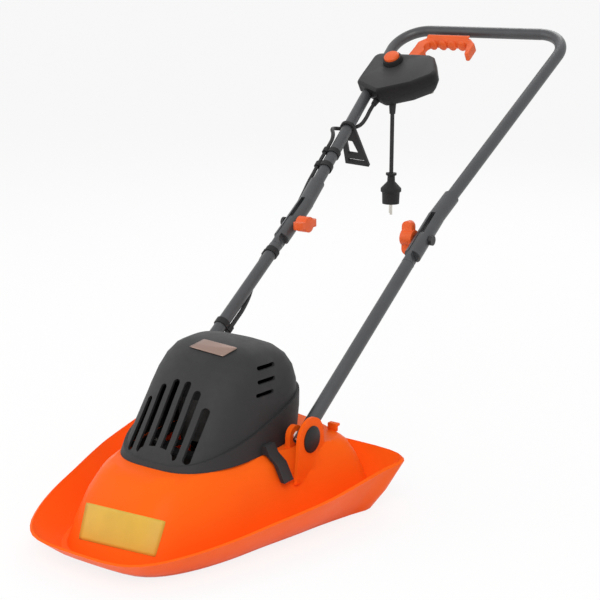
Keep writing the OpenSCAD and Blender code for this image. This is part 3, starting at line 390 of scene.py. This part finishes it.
def oval_share(material, middle, reach, edge):
    """A share of 1 inside an oval round a middle, which falls to 0 over a thin edge."""
    tree = material.node_tree
    place = tree.nodes.new("ShaderNodeTexCoord")
    oval = tree.nodes.new("ShaderNodeMapping")
    oval.inputs["Scale"].default_value = [1 / r for r in reach]
    oval.inputs["Location"].default_value = [-m / r for m, r in zip(middle, reach)]
    tree.links.new(place.outputs["Object"], oval.inputs["Vector"])
    inside = tree.nodes.new("ShaderNodeTexGradient")
    inside.gradient_type = "SPHERICAL"
    tree.links.new(oval.outputs["Vector"], inside.inputs["Vector"])
    share = tree.nodes.new("ShaderNodeMapRange")
    share.inputs["From Max"].default_value = edge
    tree.links.new(inside.outputs["Fac"], share.inputs["Value"])
    return share.outputs["Result"]


hood_finish = finishes["orange_hood"]
bay_middle = Vector((0, (cover_rear - cover_front) / 2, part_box("motor_plate")[0].z))
bay_reach = Vector((cover_half_width - cover_wall, (cover_rear + cover_front) / 2 - cover_wall, bay_depth))
# the share of painted shade: inside the oval, on faces that don't look down
bay_shade_share = hood_finish.node_tree.nodes.new("ShaderNodeMath")
bay_shade_share.operation = "MULTIPLY"
hood_links = hood_finish.node_tree.links
hood_links.new(oval_share(hood_finish, bay_middle, bay_reach, bay_edge), bay_shade_share.inputs[0])
hood_links.new(facing(hood_finish, (0, 0, 1), bay_shade_from, bay_shade_full), bay_shade_share.inputs[1])
over(hood_finish, bay_shade_share.outputs[0], painted_bay_shade)
print("motor bay stands at", [round(v, 4) for v in bay_middle])

# %% [markdown]
# ## Painted shade on the walls of the switch box
# The walls of the switch box are painted nearly black, as painted shade for light that falls from above,
# and the grained grey top keeps its own colour. The top lies square to the travel of the lock button, so
# the axis of that joint tells top from wall. The share rises from the top's own tilt to that of the walls.

# %% Painted shade on the switch box walls
box_down = Vector(joints["lock_press"]["axis"])
top_cosine = -0.85
wall_cosine = -0.55
# painted shade: the walls turned nearly black, as if light fell only from above
painted_wall_shade = srgb(17, 17, 18)
box_finish = finishes["dark_box"]
over(box_finish, facing(box_finish, box_down, top_cosine, wall_cosine), painted_wall_shade)
print("the box looks up along", [round(-v, 3) for v in box_down])

# %% [markdown]
# ## Corners joined, edges kept
# The solids arrive as flat facets with every corner split, so a curved hood would show its facets.
# The meshes could be cleaned by hand, but they are measured parts and stay as they came. Two small
# geometry node trees work on top of them instead: one joins the corners again, and the other shades
# every edge smooth, except where two faces meet at a real edge.

# %% Two node trees for shading
weld_reach = 0.00002
sharp_angle = math.radians(34)


def node_group(name):
    """An empty geometry node tree with one way in and one way out."""
    group = bpy.data.node_groups.new(name, "GeometryNodeTree")
    for way in ("INPUT", "OUTPUT"):
        group.interface.new_socket("Geometry", in_out=way, socket_type="NodeSocketGeometry")
    return group, group.nodes.new("NodeGroupInput"), group.nodes.new("NodeGroupOutput")


def chained(group, *steps):
    """Links nodes in a row."""
    for a, b in zip(steps, steps[1:]):
        group.links.new(a.outputs["Geometry"], b.inputs["Geometry"])


joined, start, end = node_group("joined_corners")
bare = joined.nodes.new("GeometryNodeRemoveAttribute")
bare.inputs["Name"].default_value = "custom_normal"
weld = joined.nodes.new("GeometryNodeMergeByDistance")
weld.inputs["Distance"].default_value = weld_reach
chained(joined, start, bare, weld, end)

gentle, start, end = node_group("soft_shading")
faces = gentle.nodes.new("GeometryNodeSetShadeSmooth")
edges = gentle.nodes.new("GeometryNodeSetShadeSmooth")
edges.domain = "EDGE"
edges.inputs["Shade Smooth"].default_value = False
angle = gentle.nodes.new("GeometryNodeInputMeshEdgeAngle")
sharp = gentle.nodes.new("FunctionNodeCompare")
sharp.inputs["B"].default_value = sharp_angle
gentle.links.new(angle.outputs["Unsigned Angle"], sharp.inputs["A"])
gentle.links.new(sharp.outputs["Result"], edges.inputs["Selection"])
chained(gentle, start, faces, edges, end)
print("node trees:", joined.name, gentle.name)

# %% [markdown]
# ## Soft shading on every solid
# Parts from a mould have a small radius on each edge, which catches a line of light. Modelled in the
# solids it would cost many faces, and a bevel between the two node trees gives it with few. The grip
# of the lever is rounder than that: an even skin of small faces is laid over it and smoothed.

# %% Soft shading
edge_radii = {"knob_left": 0.0022, "knob_right": 0.0022, "switch_top": 0.0015, "switch_base": 0.0012,
              "cable_restraint": 0.0006, "plug": 0.0008, "pivot_caps": 0.0006, "button_collar": 0.0007,
              "lock_button": 0.0006}
radius_steps = 2
radius_angle = math.radians(38)
grip_voxel = 0.0008
grip_passes = 16
grip_pull = 0.5


def shade_softly(piece, edge_radius=0.0):
    """Welds, rounds and shades one piece."""
    piece.modifiers.new("joined_corners", "NODES").node_group = joined
    if edge_radius:
        rounded = piece.modifiers.new("edge_radius", "BEVEL")
        rounded.width = edge_radius
        rounded.segments = radius_steps
        rounded.limit_method = "ANGLE"
        rounded.angle_limit = radius_angle
    piece.modifiers.new("soft_shading", "NODES").node_group = gentle


def round_over(piece):
    """Gives a grip its hand-friendly roundness: an even skin of small faces, then a few smoothings."""
    skin = piece.modifiers.new("even_skin", "REMESH")
    skin.mode = "VOXEL"
    skin.voxel_size = grip_voxel
    soft = piece.modifiers.new("rounding", "SMOOTH")
    soft.factor = grip_pull
    soft.iterations = grip_passes


round_over(nodes["bail_lever"])
for name, shell in nodes.items():
    shade_softly(shell, edge_radii.get(name, 0))
# Long thin faces round the lugs would pull the shading of the dome askew, so large faces lead
nodes["hood"].modifiers.new("large_faces_lead", "WEIGHTED_NORMAL").keep_sharp = True
print("soft shading on", len(nodes), "solids, edge radius on", len(edge_radii))

# %% [markdown]
# ## The mains cord
# A short cord hangs from the box and ends in a two-pin plug. A cylinder would look the same here, but
# a curve with a round section stays a real cord of a fixed length, which can be bent later. It runs
# from its bend relief straight down to the plug.

# %% Mains cord
cord_thickness = 0.0075
cord_steps = 16
cord_roundness = 5
cord_low, cord_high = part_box("pigtail_cord")
cord_length = cord_high.z - cord_low.z
cord_x = (cord_low.x + cord_high.x) / 2
cord_y = (cord_low.y + cord_high.y) / 2


def round_cord(name, points, thickness, material):
    """A curve with a round section through the points."""
    line = bpy.data.curves.new(name, "CURVE")
    line.dimensions = "3D"
    line.bevel_depth = thickness / 2
    line.bevel_resolution = cord_roundness
    spline = line.splines.new("POLY")
    spline.points.add(len(points) - 1)
    for knot, spot in zip(spline.points, points):
        knot.co = (*spot, 1)
    line.use_fill_caps = True
    line.materials.append(material)
    piece = bpy.data.objects.new(name, line)
    scene.collection.objects.link(piece)
    return piece


cord_points = [(cord_x, cord_y, cord_high.z - cord_length * k / cord_steps) for k in range(cord_steps + 1)]
mains_cord = round_cord("mains_cord", cord_points, cord_thickness, finishes["black_cord"])
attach(mains_cord, "upper_handle")
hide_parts("pigtail_cord")
print("mains cord length:", round(cord_length, 4))

# %% [markdown]
# ## Leads across the joints
# The motor lead crosses the folding joint and the pivot of the handle. A rigid solid would tear there, and
# a lead with bones would be much to set up for two short lengths. So each is a copy of its solid, which
# takes the solid's place.

# %% Copies of the leads
def bending_lead(name, node):
    """A copy of a length of lead in its world place, which takes the place of its hidden solid."""
    mesh = nodes[node].data.copy()
    mesh.transform(nodes[node].matrix_world)
    piece = bpy.data.objects.new(name, mesh)
    scene.collection.objects.link(piece)
    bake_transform(piece)
    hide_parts(node)
    shade_softly(piece)
    return piece


joint_lead = bending_lead("bending_lead_joint", "lead_joint")
tail_lead = bending_lead("bending_lead_tail", "lead_tail")
print("bending leads:", joint_lead.name, tail_lead.name)

# %% [markdown]
# ## Sight lines
# The hood carries a yellow plate and the cover a metal badge, and the photograph shows their corners.
# Each corner could be placed by trial, but a sight line from the camera through its spot in the
# photograph meets the solid at once.

# %% Sight lines
photo_side = 600
photo_middle = 0.5


def surface_of(node):
    """A ray target made from a solid's own mesh."""
    mesh = nodes[node].data
    return BVHTree.FromPolygons([v.co[:] for v in mesh.vertices], [p.vertices[:] for p in mesh.polygons])


def sight_line(spot):
    """Heading of the sight line through a spot of the photograph, counted from its top left corner."""
    across = spot.x / photo_side - photo_middle + lens.shift_x
    upward = photo_middle - spot.y / photo_side + lens.shift_y
    local = Vector((across, upward, -lens.lens / lens.sensor_width))
    return (camera.rotation_euler.to_matrix() @ local).normalized()


middle_spot = Vector((photo_side, photo_side)) * photo_middle
print("the middle of the photograph lies along", [round(v, 3) for v in sight_line(middle_spot)])

# %% [markdown]
# ## Thin sheets
# A plate on a moulding follows its curve. A flat card would cut into the dome, and a shrinkwrap would
# slide about, so the sheet is a grid of sight lines between its four corners. Each spot is lifted
# a fraction of a millimetre, and the sheet is thicker than that, so that its back sinks in.

# %% Sheet helper
sheet_steps = (18, 10)
sheet_ease = 0.5
sheet_sink = 1.6


def laid_sheet(name, node, corners, lift, body, material):
    """A thin sheet on a solid, between four spots of the photograph given in order round it."""
    target = surface_of(node)
    a, b, c, d = (Vector(p) for p in corners)
    across, down = sheet_steps
    builder = bmesh.new()
    rows = []
    for j in range(down + 1):
        v = j / down
        row = []
        for i in range(across + 1):
            u = i / across
            spot = (a * (1 - u) + b * u) * (1 - v) + (d * (1 - u) + c * u) * v
            hit, normal, _, _ = target.ray_cast(camera.location, sight_line(spot))
            if normal.dot(hit - camera.location) > 0:
                normal = -normal
            row.append(builder.verts.new(hit + normal * lift))
        rows.append(row)
    for upper, lower in zip(rows, rows[1:]):
        for i in range(across):
            builder.faces.new((upper[i], upper[i + 1], lower[i + 1], lower[i]))
    bmesh.ops.smooth_vert(builder, verts=builder.verts, factor=sheet_ease, use_axis_x=True,
                          use_axis_y=True, use_axis_z=True)
    mesh = bpy.data.meshes.new(name)
    builder.to_mesh(mesh)
    builder.free()
    mesh.materials.append(material)
    for face in mesh.polygons:
        face.use_smooth = True
    piece = bpy.data.objects.new(name, mesh)
    scene.collection.objects.link(piece)
    piece.modifiers.new("thickness", "SOLIDIFY").thickness = lift * sheet_sink
    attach(piece, body)
    return piece


print("a sheet has", sheet_steps[0] * sheet_steps[1], "small faces")

# %% [markdown]
# ## Bare plates
# The label is a yellow film, and the badge a stamped plate of warm grey metal with a brushed grain.
# Both are blank sheets with a finish of their own. Their corners are spots of the photograph, in
# order round each plate.

# %% Label and badge
yellow_plate = finish("yellow_plate", srgb(212, 172, 66), rough=0.45, drift=0.04, broad=40, grain=900,
                      shine=0.3)
badge_metal = finish("badge_metal", srgb(150, 126, 116), rough=0.34, metal=0.7, broad=90,
                     stretch=(1, 20, 1))
label_corners = [(86, 501.5), (167, 521), (156, 558), (78, 539.5)]
label_lift = 0.0003
badge_corners = [(189, 347.5), (204, 340), (238, 349), (223.5, 357.5)]
badge_lift = 0.0008
label = laid_sheet("blank_label", "hood", label_corners, label_lift, "deck", yellow_plate)
badge = laid_sheet("blank_badge", "motor_cover", badge_corners, badge_lift, "deck", badge_metal)
print("plates:", label.name, badge.name)

# %% [markdown]
# ## Finger bumps on the lever
# The inner side of the lever's grip has bumps that part the fingers. A sculpted grip would give them
# too, but four stretched balls, half sunk in the grip, are simple and even. They are placed from the
# axis of the folding joint, along the slope of the handle.

# %% Finger bumps
bump_line = 0.4905
bump_first = -0.086
bump_step = 0.0196
bump_count = 4
bump_size = (0.0088, 0.0042, 0.0105)
ball_rings = (24, 14)
fold_axis = Vector(joints["handle_fold"]["pos_m"])
box_up = -box_down
along_handle = Vector((0, box_up.z, -box_up.y))


def solid(name, builder, material, body, edge_radius=0.0):
    """Turns a finished builder into a piece that rides on a body."""
    mesh = bpy.data.meshes.new(name)
    builder.to_mesh(mesh)
    builder.free()
    mesh.materials.append(material)
    piece = bpy.data.objects.new(name, mesh)
    scene.collection.objects.link(piece)
    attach(piece, body)
    shade_softly(piece, edge_radius)
    return piece


bumps = bmesh.new()
for k in range(bump_count):
    middle = fold_axis + along_handle * bump_line + Vector((bump_first + bump_step * k, 0, 0))
    ball = bmesh.ops.create_uvsphere(bumps, u_segments=ball_rings[0], v_segments=ball_rings[1], radius=1)
    for v in ball["verts"]:
        wide, long, high = (share * size for share, size in zip(v.co, bump_size))
        v.co = middle + Vector((wide, 0, 0)) + along_handle * long + box_up * high
finger_bumps = solid("finger_bumps", bumps, finishes["orange_trim"], "lever")
print("finger bumps:", bump_count)

# %% [markdown]
# ## The deck hook
# A small hook stands on the rear deck for the slack of the lead. Its outline is an upright with a lip,
# drawn from the side and given a width. A ray dropped on the hood finds its foot, so it stands on
# the moulding wherever it is placed.

# %% Deck hook
hook_spot = (0.1197, 0.1304)
hook_width = 0.016
hook_thick = 0.004
hook_height = 0.010
hook_lip = 0.005
hook_sink = 0.001
hook_edge = 0.0008
ray_start = 1.0
foot, _, _, _ = surface_of("hood").ray_cast(Vector((*hook_spot, ray_start)), Vector((0, 0, -1)))
lip_end = hook_thick + hook_lip
lip_under = hook_height - hook_thick
hook_outline = [(0, -hook_sink), (hook_thick, -hook_sink), (hook_thick, lip_under), (lip_end, lip_under),
                (lip_end, hook_height), (0, hook_height)]
hook = bmesh.new()
near, far = ([hook.verts.new(foot + Vector((side * hook_width / 2, y, z))) for y, z in hook_outline]
             for side in (-1, 1))
hook.faces.new(near)
hook.faces.new(far[::-1])
for k in range(len(hook_outline)):
    hook.faces.new((near[k - 1], far[k - 1], far[k], near[k]))
bmesh.ops.recalc_face_normals(hook, faces=hook.faces)
deck_hook = solid("deck_hook", hook, finishes["orange_hood"], "deck", hook_edge)
print("deck hook stands at", [round(v, 4) for v in foot])
